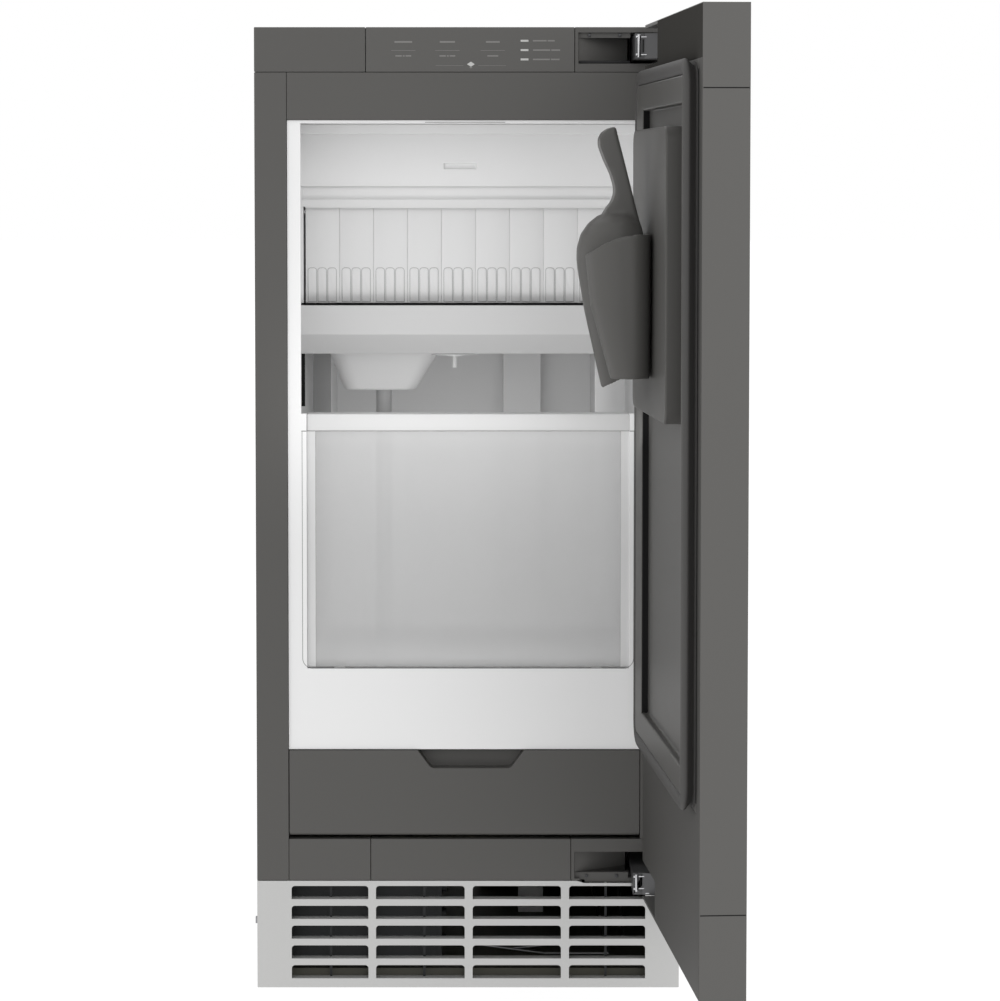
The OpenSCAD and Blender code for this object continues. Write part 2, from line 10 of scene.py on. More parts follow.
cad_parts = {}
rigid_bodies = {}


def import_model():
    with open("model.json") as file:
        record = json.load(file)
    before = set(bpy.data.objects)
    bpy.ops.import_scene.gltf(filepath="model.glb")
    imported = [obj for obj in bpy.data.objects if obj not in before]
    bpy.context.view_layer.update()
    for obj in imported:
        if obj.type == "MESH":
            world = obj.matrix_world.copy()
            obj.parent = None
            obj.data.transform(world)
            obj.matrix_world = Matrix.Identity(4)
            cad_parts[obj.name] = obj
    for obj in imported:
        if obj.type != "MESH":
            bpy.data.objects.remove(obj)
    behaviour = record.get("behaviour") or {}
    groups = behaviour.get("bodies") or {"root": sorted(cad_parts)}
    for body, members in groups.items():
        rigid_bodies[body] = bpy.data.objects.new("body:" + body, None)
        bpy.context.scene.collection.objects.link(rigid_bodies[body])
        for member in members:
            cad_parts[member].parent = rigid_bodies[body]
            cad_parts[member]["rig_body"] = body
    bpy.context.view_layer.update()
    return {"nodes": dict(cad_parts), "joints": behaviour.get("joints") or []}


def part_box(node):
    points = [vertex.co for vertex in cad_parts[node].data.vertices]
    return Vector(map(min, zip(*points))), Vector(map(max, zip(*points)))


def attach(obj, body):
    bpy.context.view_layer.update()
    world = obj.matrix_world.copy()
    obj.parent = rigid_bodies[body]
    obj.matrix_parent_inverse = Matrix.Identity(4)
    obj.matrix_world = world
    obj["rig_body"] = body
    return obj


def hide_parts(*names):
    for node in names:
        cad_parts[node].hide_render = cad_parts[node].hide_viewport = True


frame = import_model()

MM = 0.001
FLAPS = range(1, 10)


def extent(node):
    """The low and the high corner of a CAD node, in millimetres."""
    low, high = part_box(node)
    return low / MM, high / MM


# ---------------------------------------------------------------- materials


def srgb(r, g, b):
    """A colour given as the eye reads it, 0 to 255, as the shader's linear values."""

    def linear(v):
        v /= 255
        return v / 12.92 if v <= 0.04045 else ((v + 0.055) / 1.055) ** 2.4

    return linear(r), linear(g), linear(b), 1.0


def material(name, slot, colour, roughness, metallic=0.0, grain=0.0, grain_size=900.0, **sockets):
    """A Principled material, with a fine grain in its normal where grain is above 0."""
    made = bpy.data.materials.new(name)
    made.use_nodes = True
    shader = made.node_tree.nodes["Principled BSDF"]
    shader.inputs["Base Color"].default_value = colour
    shader.inputs["Roughness"].default_value = roughness
    shader.inputs["Metallic"].default_value = metallic
    shader.inputs["Specular IOR Level"].default_value = 0.3
    for key, value in sockets.items():
        shader.inputs[key.replace("_", " ")].default_value = value
    if grain:
        nodes, links = made.node_tree.nodes, made.node_tree.links
        coordinates = nodes.new("ShaderNodeTexCoord")
        noise = nodes.new("ShaderNodeTexNoise")
        noise.inputs["Scale"].default_value = grain_size
        noise.inputs["Detail"].default_value = 3.0
        bump = nodes.new("ShaderNodeBump")
        bump.inputs["Strength"].default_value = grain
        bump.inputs["Distance"].default_value = 0.0002
        links.new(coordinates.outputs["Object"], noise.inputs["Vector"])
        links.new(noise.outputs["Fac"], bump.inputs["Height"])
        links.new(bump.outputs["Normal"], shader.inputs["Normal"])
    made["slot"] = slot
    return made


MATERIALS = {
    "body": material("body_grey", "body_grey", srgb(82, 81, 79), 0.5, grain=0.05),
    "panel": material("control_grey", "control_grey", srgb(84, 83, 81), 0.45, grain=0.04),
    "pocket": material("pocket_grey", "body_grey", srgb(80, 79, 77), 0.5),
    "galvanised": material(
        "galvanised", "galvanised", srgb(150, 152, 154), 0.42, 0.9, grain=0.1, grain_size=120.0
    ),
    "grille": material("grille_steel", "grille_steel", srgb(188, 188, 187), 0.42, 0.25, grain=0.03),
    "chrome": material("hinge_chrome", "screw_steel", srgb(200, 200, 202), 0.16, 1.0),
    "steel": material("screw_steel", "screw_steel", srgb(150, 150, 152), 0.3, 1.0),
    "arm": material("hinge_steel", "screw_steel", srgb(92, 92, 93), 0.38, 0.7),
    "liner": material("liner_white", "liner_white", srgb(230, 230, 230), 0.4, grain=0.02),
    "curtain": material("curtain_white", "liner_white", srgb(224, 224, 224), 0.45),
    "trough": material("trough_white", "tank_white", srgb(202, 202, 202), 0.45),
    "rim": material("bin_rim_white", "liner_white", srgb(206, 206, 206), 0.4),
    "tank": material("tank_white", "tank_white", srgb(216, 216, 216), 0.4),
    "bin_clear": material("bin_clear", "bin_clear", srgb(224, 224, 224), 0.12, Alpha=0.34),
    "bin_edge": material("bin_edge", "bin_clear", srgb(228, 228, 228), 0.25, Alpha=0.8),
    # Grey for seams and outlines, and for lines painted as the shadow under the bin's rim.
    "line": material("seam_and_painted_shadow_grey", "liner_white", srgb(120, 120, 120), 0.7),
    # Grey for the lamp's lens line, and for outlines and faces painted as shade.
    "line_and_painted_shade": material("line_and_painted_shade_grey", "liner_white", srgb(168, 168, 168), 0.6),
    "pan": material("base_pan_grey", "galvanised", srgb(78, 77, 69), 0.6, 0.1),
    "door_inner": material("door_inner", "door_skin", srgb(66, 65, 63), 0.6),
    # A darker, less shiny copy of the door's inner plastic: painted shade over the door's upper part.
    "door_inner_painted_shade": material(
        "door_inner_painted_shade", "door_skin", srgb(60, 59, 57), 0.8, Specular_IOR_Level=0.0
    ),
    # A paler copy of the pocket grey: painted light on the pockets' slanted walls.
    "pocket_wall_painted_light": material("pocket_wall_painted_light", "body_grey", srgb(98, 97, 95), 0.6),
    "foam": material("foam", "foam", srgb(215, 200, 150), 0.9),
    "evaporator": material("evaporator_metal", "evaporator_metal", srgb(180, 180, 182), 0.3, 0.9),
    "black": material("black_metal", "black_metal", srgb(26, 26, 27), 0.45),
    "plastic": material("black_plastic", "black_plastic", srgb(30, 30, 31), 0.55),
    "motor": material("motor_steel", "motor_steel", srgb(140, 140, 142), 0.35, 0.9),
    "valve": material("valve_plastic", "valve_plastic", srgb(195, 194, 186), 0.5),
    "foot": material("foot_steel", "foot_steel", srgb(150, 150, 152), 0.35, 0.9),
    "door": material("door_skin", "door_skin", srgb(88, 87, 85), 0.5, grain=0.05),
    "door_liner": material("door_plastic", "door_plastic", srgb(74, 73, 71), 0.45, grain=0.03),
    "gasket": material("gasket_rubber", "gasket_rubber", srgb(66, 65, 64), 0.6),
    "scoop": material("scoop_plastic", "scoop_plastic", srgb(80, 79, 77), 0.4),
    "print": material("panel_print", "control_grey", srgb(185, 185, 183), 0.6),
    "print_dim": material("panel_print_dim", "control_grey", srgb(122, 121, 119), 0.6),
    # Black for seams and slots, and for sheets that stand as painted shade in deep gaps.
    "dark": material("black_seams_and_painted_shade", "black_plastic", srgb(8, 8, 8), 0.8),
    "steel_dark": material("steel_dark", "screw_steel", srgb(70, 70, 71), 0.35, 0.8),
    "fin": material("condenser_fin", "black_metal", srgb(44, 45, 46), 0.45, 0.4),
}

NODE_MATERIAL = {
    "wrapper": "body", "stile_left": "body", "stile_right": "body", "cross_rail": "body",
    "top_cover_left": "body", "hinge_pocket_upper": "pocket", "lower_cover_left": "body",
    "lower_cover_centre": "body", "hinge_pocket_lower": "pocket", "filter_door": "body",
    "control_panel": "panel", "back_panel": "galvanised", "base_pan": "pan",
    "grille": "grille", "fasteners": "steel", "door_hinges": "steel", "hinge_arms": "arm",
    "liner": "liner", "evaporator_cover": "liner", "curtain_rail": "curtain", "bin_rim": "rim",
    "trough": "trough", "sump_basin": "tank", "drain_nozzle": "tank", "drain_tube": "tank",
    "spray_bar": "tank", "filter_cartridge": "tank", "filter_head": "tank",
    "bin_tub": "bin_clear", "bin_window": "bin_clear", "insulation": "foam",
    "evaporator": "evaporator", "compressor": "black", "condenser": "fin",
    "fan_shroud": "plastic", "fan_blade": "plastic", "drain_pump": "plastic", "power_inlet": "plastic",
    "fan_motor": "motor", "control_box": "motor", "water_valve": "valve",
    "foot_front_left": "foot", "foot_front_right": "foot",
    "foot_rear_left": "foot", "foot_rear_right": "foot",
    "door_panel": "door", "door_end_caps": "door", "door_liner": "door_liner", "gasket": "gasket",
    "scoop_holder": "scoop", "scoop": "scoop",
}
for number in FLAPS:
    NODE_MATERIAL[f"flap_{number}"] = "curtain"

for node, key in NODE_MATERIAL.items():
    slots = frame["nodes"][node].data.materials
    slots.clear()
    slots.append(MATERIALS[key])


# ---------------------------------------------------------------- pieces

# Edges flatter than this, in degrees, are shaded as round
SMOOTH_ANGLE = 40


def finish_piece(name, mesh, key, body, smooth_angle):
    """Links a mesh as a piece with its material and its body; it is shaded flat where the angle is None."""
    piece = bpy.data.objects.new(name, mesh)
    bpy.context.scene.collection.objects.link(piece)
    mesh.materials.clear()
    mesh.materials.append(MATERIALS[key])
    if smooth_angle is not None:
        mesh.shade_smooth()
        mesh.set_sharp_from_angle(angle=math.radians(smooth_angle))
    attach(piece, body)
    return piece


def from_bmesh(name, bm, key, body, smooth_angle, place=None):
    """Makes a piece from bm, moved by the matrix place where one is given."""
    mesh = bpy.data.meshes.new(name)
    bm.to_mesh(mesh)
    bm.free()
    if place is not None:
        mesh.transform(place)
    return finish_piece(name, mesh, key, body, smooth_angle)


def bevel_sharp(bm, width, segments, limit=30):
    """Rounds every edge that is sharper than the limit."""
    edges = [
        e for e in bm.edges
        if len(e.link_faces) == 2 and e.calc_face_angle(0) > math.radians(limit)
    ]
    bmesh.ops.bevel(
        bm, geom=edges, offset=width, segments=segments, profile=0.5, affect="EDGES", clamp_overlap=True
    )


def block(name, low, high, key, body, bevel=0.3, place=None, segments=2):
    """A box with rounded edges between two corners, in millimetres."""
    bm = bmesh.new()
    bmesh.ops.create_cube(bm, size=1)
    low, high = Vector(low) * MM, Vector(high) * MM
    for v in bm.verts:
        v.co = Vector((low[i] + (v.co[i] + 0.5) * (high[i] - low[i]) for i in range(3)))
    if bevel:
        bevel_sharp(bm, bevel * MM, segments)
    return from_bmesh(name, bm, key, body, SMOOTH_ANGLE, place)


def rod(name, start, end, radius, key, body, sides, bevel=0.3):
    """A round bar between two points, in millimetres."""
    start, end = Vector(start) * MM, Vector(end) * MM
    bm = bmesh.new()
    along = end - start
    bmesh.ops.create_cone(
        bm, cap_ends=True, segments=sides, radius1=radius * MM, radius2=radius * MM, depth=along.length
    )
    if bevel:
        bevel_sharp(bm, bevel * MM, 2, 60)
    turn = along.to_track_quat("Z", "Y").to_matrix().to_4x4()
    bm.transform(Matrix.Translation((start + end) / 2) @ turn)
    return from_bmesh(name, bm, key, body, SMOOTH_ANGLE)


def even_normals(piece):
    """Keeps large flat faces flat where they meet rounded edges."""
    modifier = piece.modifiers.new("even", "WEIGHTED_NORMAL")
    modifier.mode = "FACE_AREA"
    modifier.weight = 100
    modifier.keep_sharp = True
    depsgraph = bpy.context.evaluated_depsgraph_get()
    mesh = bpy.data.meshes.new_from_object(piece.evaluated_get(depsgraph), depsgraph=depsgraph)
    piece.modifiers.clear()
    piece.data = mesh


def soften(node, width, segments):
    """Stands in for a CAD node with a copy of it whose sharp edges are rounded."""
    source = frame["nodes"][node]
    bm = bmesh.new()
    bm.from_mesh(source.data)
    bmesh.ops.remove_doubles(bm, verts=bm.verts, dist=1e-6)
    bmesh.ops.dissolve_limit(bm, angle_limit=math.radians(0.5), verts=bm.verts, edges=bm.edges)
    bevel_sharp(bm, width * MM, segments)
    piece = from_bmesh(node + "_soft", bm, NODE_MATERIAL[node], source["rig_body"], SMOOTH_ANGLE)
    even_normals(piece)
    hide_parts(node)


def remeshed(node, voxel, passes):
    """Stands in for a faceted CAD node with a smooth copy of it."""
    source = frame["nodes"][node]
    copy = bpy.data.objects.new(node + "_smooth", source.data.copy())
    bpy.context.scene.collection.objects.link(copy)
    remesh = copy.modifiers.new("remesh", "REMESH")
    remesh.mode = "VOXEL"
    remesh.voxel_size = voxel * MM
    smooth = copy.modifiers.new("smooth", "SMOOTH")
    smooth.factor = 0.5
    smooth.iterations = passes
    mesh = bpy.data.meshes.new_from_object(copy.evaluated_get(bpy.context.evaluated_depsgraph_get()))
    bpy.data.objects.remove(copy)
    piece = finish_piece(node + "_smooth", mesh, NODE_MATERIAL[node], source["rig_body"], 60)
    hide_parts(node)


# ---------------------------------------------------------------- rounded copies of CAD nodes

SOFT_EDGES = {
    "stile_left": 0.6, "stile_right": 0.6, "cross_rail": 0.6, "top_cover_left": 0.6, "control_panel": 0.6,
    "hinge_pocket_upper": 0.6, "lower_cover_left": 0.6, "lower_cover_centre": 0.6,
    "hinge_pocket_lower": 0.8, "filter_door": 0.9, "door_panel": 0.9, "door_end_caps": 0.9, "trough": 0.9,
    "evaporator_cover": 0.8, "liner": 0.9, "grille": 0.35, "hinge_arms": 0.8, "door_liner": 3.2,
    "compressor": 3.0, "control_box": 1.5, "wrapper": 0.5,
}
for node, width in SOFT_EDGES.items():
    soften(node, width, 3 if width > 1 else 2)

remeshed("scoop", 1.3, 12)
remeshed("scoop_holder", 1.2, 4)
remeshed("sump_basin", 1.6, 8)


# ---------------------------------------------------------------- the door's own frame

SWING = next(joint for joint in frame["joints"] if joint["name"] == "door_swing")
PIVOT = Vector(SWING["pos_m"])
OPEN_ANGLE = -math.radians(SWING["range_deg"][0])
# Takes a piece that is drawn with the door shut to where the door stands open
ON_DOOR = (
    Matrix.Translation((PIVOT.x, PIVOT.y, 0))
    @ Matrix.Rotation(OPEN_ANGLE, 4, "Z")
    @ Matrix.Translation((-PIVOT.x, -PIVOT.y, 0))
)
# Where the door's inner face lies in Y when it is shut
DOOR_BACK = -12.0


def rounded_loop(x0, x1, z0, z1, radius):
    """Points and outward directions round a rectangle with round corners, in the door's plane."""
    steps = 8
    corners = ((x1, z1, 0), (x0, z1, 90), (x0, z0, 180), (x1, z0, 270))
    loop = []
    for x, z, start in corners:
        cx = x - radius if x == x1 else x + radius
        cz = z - radius if z == z1 else z + radius
        for step in range(steps + 1):
            angle = math.radians(start + 90 * step / steps)
            out = (math.cos(angle), math.sin(angle))
            loop.append(((cx + radius * out[0], cz + radius * out[1]), out))
    return loop


def seal_ring(name, loop, profile):
    """A closed ring of seal on the open door, with the same (inward, height) profile all round."""
    bm = bmesh.new()
    rings = []
    for (x, z), out in loop:
        rings.append([
            bm.verts.new(Vector((x - out[0] * inward, DOOR_BACK + height, z - out[1] * inward)) * MM)
            for inward, height in profile
        ])
    for first, second in zip(rings, rings[1:] + rings[:1]):
        for k in range(len(profile)):
            following = (k + 1) % len(profile)
            bm.faces.new((first[k], first[following], second[following], second[k]))
    bmesh.ops.recalc_face_normals(bm, faces=bm.faces)
    return from_bmesh(name, bm, "gasket", "door", 50, ON_DOOR)


def gasket():
    """The door seal: a round magnet bulb that stands on a narrow neck."""
    middle, middle_height, half_width, half_height = 6.6, 8.2, 6.4, 3.4
    bulb = [
        (middle + half_width * math.cos(angle), middle_height + half_height * math.sin(angle))
        for angle in (math.radians(a) for a in range(-50, 231, 14))
    ]
    profile = [(12.6, 0.1), (12.6, 1.6), (8.6, 2.2)] + bulb + [(5.6, 2.2), (3.0, 1.6), (3.0, 0.1)]
    ring = seal_ring("gasket_seal", rounded_loop(-167, 169, 231, 817, 22), profile)
    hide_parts("gasket")


def door_painted_shade_and_seams():
    """Black sheets painted as shade beside the recess and under the seal, and the black seams where the end
    caps meet the panel.
    """
    # A black sheet painted as the shade on the recess's hinge-side wall.
    block("recess_painted_shade", (109.2, -7.2, 267.2), (110.2, -1.6, 781.8), "dark", "door", 0, ON_DOOR)
    # A black sheet painted as the shade under the seal on the door's free side.
    start, end = (-166.9, DOOR_BACK + 0.05, 240), (-163.6, DOOR_BACK + 0.4, 808)
    block("seal_painted_shade", start, end, "dark", "door", 0, ON_DOOR)
    low, high = extent("door_panel")
    half = 0.45
    for name, z in (("upper", high.z), ("lower", low.z)):
        start, end = (-186.06, -48.3, z - half), (-185.6, -12.6, z + half)
        block(f"cap_seam_{name}", start, end, "dark", "door", 0, ON_DOOR)


door_painted_shade_and_seams()


def door_inner_skin():
    """The darker plastic face of the door around its seal; above the seal it is darker still, as painted
    shade.
    """
    free, hinge, notch = -185.4, 187.4, 98
    seal_left, seal_right, seal_low, seal_high = -165, 167, 232, 816
    notch_low, notch_high = 123.2, 822.4
    parts = (
        (free, hinge, seal_high, notch_high), (free, notch, notch_high, 857.2),
        (free, seal_left, seal_low, seal_high), (seal_right, hinge, seal_low, seal_high),
        (free, hinge, notch_low, seal_low), (free, notch, 89.6, notch_low),
    )
    for count, (x0, x1, z0, z1) in enumerate(parts):
        # Above the seal the skin takes the darker copy, as painted shade.
        key = "door_inner_painted_shade" if z0 >= seal_high else "door_inner"
        start, end = (x0, DOOR_BACK - 0.1, z0), (x1, DOOR_BACK + 0.15, z1)
        block(f"door_inner_{count}", start, end, key, "door", 0, ON_DOOR)


door_inner_skin()
gasket()


# ---------------------------------------------------------------- control panel

PRINT_DEPTH = 0.12


def mark(name, x, z, width, height, key="print"):
    """A printed bar on the control panel's face."""
    block(
        name, (x - width / 2, -PRINT_DEPTH, z - height / 2), (x + width / 2, 0.02, z + height / 2),
        key, "cabinet", bevel=0,
    )


def words(name, x, z, lengths, height):
    """A row of short dim bars, where a label would stand."""
    gap = 0.9
    left = x - (sum(lengths) + gap * (len(lengths) - 1)) / 2
    for number, length in enumerate(lengths):
        mark(f"{name}_{number}", left + length / 2, z, length, height, "print_dim")
        left += length + gap


def panel_graphics():
    """Three pads with a label, a line and a note, three lamps with labels, and a small diamond."""
    label_z, line_z, note_z = 845.0, 837.5, 832.7
    pads = ((-57.1, 15.6, (5.6, 1.6, 5.0)), (-18.2, 13.4, (5.6, 1.6, 5.0)), (21.9, 12.2, (9.6,)))
    for number, (x, width, note) in enumerate(pads):
        mark(f"pad_label_{number}", x, label_z, width, 1.5, "print_dim")
        mark(f"pad_line_{number}", x, line_z, 21.4, 0.35, "print_dim")
        words(f"pad_note_{number}", x, note_z, note, 1.2)
    for number, (z, length) in enumerate(((846.0, 19.5), (837.8, 24.5), (829.6, 24.0))):
        mark(f"lamp_{number}", 49.9, z, 6.9, 1.7)
        pair = (length * 0.62, length * 0.32)
        words(f"lamp_label_{number}", 57.1 + length / 2, z, pair, 1.3)
    for number, x in enumerate((-16.3, 21.3)):
        mark(f"icon_line_{number}", x, 824.2, 24.5, 0.3, "print_dim")
    for number, (radius, z) in enumerate(((3.4, 825.4), (1.5, 822.6))):
        bm = bmesh.new()
        bmesh.ops.create_circle(bm, cap_ends=True, segments=4, radius=radius * MM)
        bm.transform(
            Matrix.Translation(Vector((2.5, -PRINT_DEPTH, z)) * MM)
            @ Matrix.Rotation(math.radians(90), 4, "X")
            @ Matrix.Diagonal((1, 0.66, 1, 1))
        )
        from_bmesh(f"icon_{number}", bm, "print_dim" if number else "print", "cabinet", None)


panel_graphics()


# ---------------------------------------------------------------- hinges and their pockets


def hinge_front(name, low_z, high_z):
    """What shows of an arm: a bright pin, a plate with raised edges and two studs."""
    pin_x, pin_y, stud_x, plate_y = 149.2, -35.4, 162, -33.9
    rod(name + "_pin", (pin_x, pin_y, low_z + 1), (pin_x, pin_y, high_z - 1), 1.5, "chrome", "cabinet", 20)
    for part, z in (("upper", high_z - 3.6), ("lower", low_z + 3.0)):
        block(f"{name}_edge_{part}", (151, -34.8, z), (165.6, plate_y, z + 0.9), "chrome", "cabinet", 0.2)
        start, end = (146.4, -36.2, z - 0.4), (148.4, -34, z + 1.4)
        block(f"{name}_tab_{part}", start, end, "chrome", "cabinet", 0.3)
    for part, z in (("upper", high_z - 1.6), ("lower", low_z + 1.2)):
        start, end = (stud_x, -35.6, z), (stud_x, -33.8, z)
        rod(f"{name}_stud_{part}", start, end, 1.2, "chrome", "cabinet", 16, 0.3)
    block(name + "_slot", (152.4, -34.3, low_z + 5.5), (153.4, plate_y, high_z - 5.5), "dark", "cabinet", 0)


def pocket_screws(name, x0, z):
    """Screw heads on the rail across a pocket's mouth."""
    for number, x in enumerate((x0 + 9, x0 + 36)):
        rod(f"{name}_screw_{number}", (x, 2.6, z), (x, 3.6, z), 1.7, "steel_dark", "cabinet", 20, 0.3)


def pocket_wall_painted_light(name, x, z0, z1):
    """A paler skin on the slanted wall at the back of a pocket, painted lighter as the light that falls on
    it.
    """
    start, end = Vector((x, 3.8)), Vector((141.9, 35.8))
    slope = math.atan2(end.y - start.y, end.x - start.x)
    place = Matrix.Translation(Vector((start.x, start.y, 0)) * MM) @ Matrix.Rotation(slope, 4, "Z")
    block(name, (0, -0.3, z0), ((end - start).length, 0.1, z1), "pocket_wall_painted_light", "cabinet", 0, place)


pocket_wall_painted_light("upper_pocket_wall", 97.6, 826, 848.6)
pocket_wall_painted_light("lower_pocket_wall", 95.3, 103.9, 122.8)
hinge_front("upper_hinge", 829, 851)
hinge_front("lower_hinge", 93.6, 111)
pocket_screws("upper_pocket", 98, 851)
block("upper_pocket_sill", (97.6, 3.6, 825.9), (143.4, 8.8, 828.6), "plastic", "cabinet", 0.4)
pocket_screws("lower_pocket", 97, 100.6)
block("lower_hinge_plate", (157, -36.5, 91.7), (166, -30, 93.6), "chrome", "cabinet", 0.4)


# ---------------------------------------------------------------- ice curtain


def tab_outline(width, height, radius):
    """A tab with a round top, standing at z 0."""
    steps = 8
    points = [(-width / 2, 0.0), (width / 2, 0.0)]
    for side, start in ((1, 0), (-1, 90)):
        cx = side * (width / 2 - radius)
        for step in range(steps + 1):
            angle = math.radians(start + 90 * step / steps)
            points.append((cx + radius * math.cos(angle), height - radius + radius * math.sin(angle)))
    return points


def slab(bm, points, y_front, y_back, bevel, move=(0, 0)):
    """Adds a plate with the given outline in X and Z to bm."""
    front = [bm.verts.new(Vector((x + move[0], y_front, z + move[1])) * MM) for x, z in points]
    back = [bm.verts.new(Vector((x + move[0], y_back, z + move[1])) * MM) for x, z in points]
    rim = bm.faces.new(front)
    bm.faces.new(back[::-1])
    for k in range(len(points)):
        following = (k + 1) % len(points)
        bm.faces.new((front[k], back[k], back[following], front[following]))
    if bevel:
        bmesh.ops.bevel(
            bm, geom=list(rim.edges), offset=bevel * MM, segments=2, profile=0.5, affect="EDGES",
            clamp_overlap=True,
        )


def flap(number):
    """One flap: a thin blade hung on the rod, with three tabs near its lower edge, each in a grey outline
    painted as the shade around it.
    """
    node, body = f"flap_{number}", f"flap_{number}_body"
    low, high = extent(node)
    spread, blade_low, blade_high, thickness = 0.22, 611.5, 698.3, 2
    tab_count, tab_start, tab_pitch, tab_low = 3, 6.0, 9.0, 612.8
    tab_w, tab_h, tab_round = 7.4, 30.4, 2.4
    x0, x1 = low.x - spread, high.x + spread
    blade_front = high.y - 6.6
    outline = [(x0, blade_low), (x1, blade_low), (x1, blade_high), (x0, blade_high)]
    bm = bmesh.new()
    slab(bm, outline, blade_front, blade_front + thickness, 0.15)
    bmesh.ops.recalc_face_normals(bm, faces=bm.faces)
    blade = from_bmesh(node + "_blade", bm, "curtain", body, 35)
    # Under each tab lies a slightly larger grey plate, whose rim shows as an outline of painted shade.
    layers = (("painted_shade_outlines", "line_and_painted_shade", 0.45, 0.25, 0), ("tabs", "curtain", 0, 0.9, 0.3))
    for name, key, grow, proud, bevel in layers:
        bm = bmesh.new()
        outline = tab_outline(tab_w + 2 * grow, tab_h + 2 * grow, tab_round + grow)
        for k in range(tab_count):
            place = (x0 + tab_start + tab_pitch * k, tab_low - grow)
            slab(bm, outline, blade_front - proud, blade_front + 0.5, bevel, place)
        bmesh.ops.recalc_face_normals(bm, faces=bm.faces)
        from_bmesh(f"{node}_{name}", bm, key, body, 35)
    barrel = 3.3
    axle_y, axle_z = high.y - barrel, 694.5
    rod(node + "_barrel", (x0, axle_y, axle_z), (x1, axle_y, axle_z), barrel, "curtain", body, 28, 0.2)
    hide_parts(node)


for number in FLAPS:
    flap(number)


def rail_trim():
    """The white lip over the tops of the flaps, and the cove between the rail and the cover above it."""
    side = extent("curtain_rail")[1].x
    block("rail_lip", (-148.5, 84.6, 697.9), (side - 0.2, 86.2, 700), "curtain", "cabinet", 0.3)
    block("rail_cove", (-side, 87.4, 705.0), (side, 88.4, 718.5), "liner", "cabinet", 0)


rail_trim()


def compartment_details():
    """A black sheet painted as a shadow gap, column faces painted darker as shade behind the bin, and small
    dark lines, at the back and the top of the ice compartment.
    """
    # Painted shadow: a black sheet where the left column meets the wall.
    block("column_painted_shadow", (-153.9, 100, 516), (-149.9, 101, 564.5), "dark", "cabinet", 0)
    foot_z, thickness = 290, 0.6
    # Faces laid on the columns in darker whites than the liner: painted shade where the columns show
    # through the bin.
    columns = (
        ("left", -153.8, -136.2, 333.9, 572, "line_and_painted_shade"),
        ("middle", 35.1, 72.9, 444.9, 479, "rim"),
        ("right", 124.9, 153.8, 333.9, 487, "rim"),
    )
    for name, x0, x1, front, top_z, key in columns:
        start, end = (x0, front - thickness, foot_z), (x1, front, top_z)
        block(f"{name}_column_painted_shade", start, end, key, "cabinet", 0)
    block("lamp_line", (-38, 1.8, 773.9), (33, 2.05, 774.6), "line_and_painted_shade", "cabinet", 0)
    rings = (
        ("nozzle_ring", -12.5, 112.5, 564.3, 564.95, 22.4),
        ("collar_line", -82.3, 275, 522.4, 522.9, 14),
    )
    for name, x, y, low_z, high_z, radius in rings:
        rod(name, (x, y, low_z), (x, y, high_z), radius, "line", "cabinet", 48, 0)


compartment_details()


# ---------------------------------------------------------------- ice bin


def bin_front():
    """The smoky window with its pale side edges, the rim, thin lines at the bin's inner corners, and a thin
    dark line painted as the shadow under the rim.
    """
    edge, wide = 136.2, 143.5
    window_low, window_high = extent("bin_window")
    rim_low, rim_high = extent("bin_rim")
    front, back, z0, z1 = window_low.y, window_high.y, window_low.z, window_high.z
    window = block("bin_window_middle", (-edge, front, z0), (edge, back, z1), "bin_clear", "bin", 0)
    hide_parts("bin_window")
    for side in (-1, 1):
        x0, x1 = sorted((side * edge, side * wide))
        block(f"bin_window_edge_{side + 1}", (x0, front, z0), (x1, back, z1), "bin_edge", "bin", 0)
        start, end = (side * edge - 0.3, back + 0.1, z0 + 2), (side * edge + 0.3, back + 0.7, z1)
        block(f"bin_inner_corner_{side + 1}", start, end, "line", "bin", 0)
        # A thin dark line painted as the shadow under the rim's end, on the liner.
        x0, x1 = sorted((side * 143.7, side * 148.2))
        block(f"rim_painted_shadow_{side + 1}", (x0, 1.85, z1 - 0.5), (x1, 2.1, z1 + 0.2), "line", "cabinet", 0)
    start, end = (-wide, rim_low.y, z1), (wide, rim_high.y, rim_high.z)
    rim = block("bin_rim_bar", start, end, "rim", "bin", 1.0, None, 3)
    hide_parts("bin_rim")
    # A thin dark line painted as the shadow along the underside of the rim.
    block("bin_rim_painted_shadow", (-wide, 5.6, z1 - 0.5), (wide, 6.05, z1 + 0.2), "line", "bin", 0)


def bin_outline_line():
    """The thin line on the liner around the bin, round at its lower corners."""
    low, high = extent("bin_window")
    x, z0, radius, half = 147.7, low.z - 0.9, 9.0, 0.22
    path = [(-x, high.z)]
    for angle in (math.radians(10 * k) for k in range(10)):
        path.append((-x + radius - radius * math.cos(angle), z0 + radius - radius * math.sin(angle)))
    path += [(-px, pz) for px, pz in reversed(path)]
    front, back = 1.88, 2.05
    bm = bmesh.new()
    rows = []
    for k, (px, pz) in enumerate(path):
        before, after = Vector(path[max(k - 1, 0)]), Vector(path[min(k + 1, len(path) - 1)])
        along = (after - before).normalized()
        side = Vector((-along.y, along.x)) * half
        rows.append([
            bm.verts.new(Vector((px + sign * side.x, depth, pz + sign * side.y)) * MM)
            for sign, depth in ((-1, back), (-1, front), (1, front), (1, back))
        ])
    for first, second in zip(rows, rows[1:]):
        for k in range(4):
            bm.faces.new((first[k], first[(k + 1) % 4], second[(k + 1) % 4], second[k]))
    bm.faces.new(rows[0][::-1])
    bm.faces.new(rows[-1])
    bmesh.ops.recalc_face_normals(bm, faces=bm.faces)
    from_bmesh("bin_outline_line", bm, "line", "cabinet", None)


bin_front()
bin_outline_line()


# ---------------------------------------------------------------- machine bay, as seen through the grille


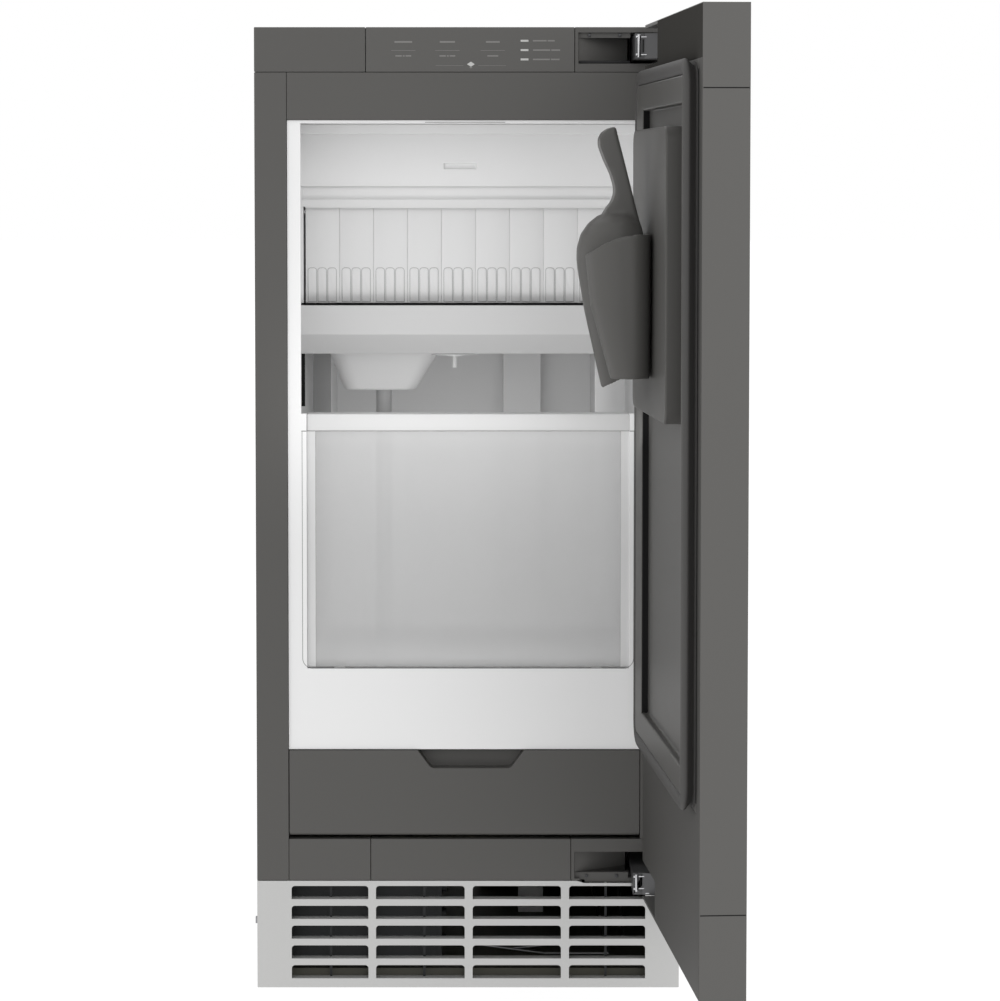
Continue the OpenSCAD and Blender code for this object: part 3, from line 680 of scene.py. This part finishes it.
def pipes():
    """Two thin lines from the condenser's end, across the pan and back to the compressor's foot."""
    runs = (
        ("suction_pipe", 1.5, ((-20, 44, 34), (40, 64, 20.5), (142, 82, 27), (150, 380, 27))),
        ("liquid_pipe", 1.1, ((-20, 47, 32), (70, 58, 17.5), (128, 58, 17.5), (120, 372, 27))),
    )
    for name, radius, stops in runs:
        for number, (start, end) in enumerate(zip(stops, stops[1:])):
            rod(f"{name}_{number}", start, end, radius, "steel", "cabinet", 20, 0)
        for number, stop in enumerate(stops[1:-1]):
            bm = bmesh.new()
            bmesh.ops.create_uvsphere(bm, u_segments=20, v_segments=12, radius=radius * MM)
            bm.transform(Matrix.Translation(Vector(stop) * MM))
            from_bmesh(f"{name}_bend_{number}", bm, "steel", "cabinet", 60)


def stay_faces():
    """The dark faces of the upright stays behind the grille's slots."""
    half = 1.05
    for number, x in enumerate((-123.3, -39.4, 123.5)):
        block(f"stay_face_{number}", (x - half, 8.6, 2), (x + half, 8.95, 93), "fin", "cabinet", 0)


pipes()
stay_faces()


# ---------------------------------------------------------------- stage


def floor():
    """A wide, pale floor, seen as the plain ground in every view."""
    bpy.ops.mesh.primitive_circle_add(vertices=96, radius=40, fill_type="NGON", location=(0, 0, 0))
    plane = bpy.context.object
    plane.name = "floor"
    pale = bpy.data.materials.new("floor_pale")
    pale.use_nodes = True
    shader = pale.node_tree.nodes["Principled BSDF"]
    shader.inputs["Base Color"].default_value = srgb(120, 120, 120)
    shader.inputs["Roughness"].default_value = 1.0
    shader.inputs["Specular IOR Level"].default_value = 0.0
    shader.inputs["Emission Color"].default_value = (1, 1, 1, 1)
    shader.inputs["Emission Strength"].default_value = 0.9
    plane.data.materials.append(pale)


def light(name, location, target, size, power):
    """A soft rectangular light that faces its target; sizes in metres, power in watts."""
    data = bpy.data.lights.new(name, "AREA")
    data.shape = "RECTANGLE"
    data.size, data.size_y = size
    data.energy = power
    lamp = bpy.data.objects.new(name, data)
    lamp.location = location
    lamp.rotation_mode = "QUATERNION"
    lamp.rotation_quaternion = (Vector(target) - Vector(location)).to_track_quat("-Z", "Y")
    bpy.context.scene.collection.objects.link(lamp)


def studio():
    """An even white surrounding, one soft key light and weak lights inside the compartment and the bin."""
    bpy.context.scene.view_settings.view_transform = "Standard"
    world = bpy.data.worlds.new("studio")
    world.use_nodes = True
    background = world.node_tree.nodes["Background"]
    background.inputs["Color"].default_value = (1, 1, 1, 1)
    background.inputs["Strength"].default_value = 1.0
    bpy.context.scene.world = world
    light("key", (0.9, -3.2, 1.7), (0, 0, 0.45), (1.6, 1.6), 16)
    light("compartment", (0.0, -0.12, 0.50), (0, 0.085, 0.73), (0.28, 0.06), 0.14)
    light("behind_bin", (0.0, 0.31, 0.43), (0, 0.47, 0.43), (0.27, 0.24), 0.09)
    light("inside_bin", (0.0, 0.035, 0.39), (0, 0.47, 0.36), (0.26, 0.16), 0.15)


def camera():
    """Straight at the front, slightly tilted down, with the rest of the offset as shift."""
    tilt_down = 3.4
    data = bpy.data.cameras.new("camera")
    data.lens = 119.2
    data.sensor_width = 36
    data.shift_x = 0.0238
    data.shift_y = -0.119
    data.clip_start = 0.05
    data.clip_end = 200
    eye = bpy.data.objects.new("camera", data)
    eye.location = (0.0072, -2.9376, 0.7194)
    eye.rotation_euler = (math.radians(90 - tilt_down), 0, 0)
    bpy.context.scene.collection.objects.link(eye)
    bpy.context.scene.camera = eye


floor()
studio()
camera()
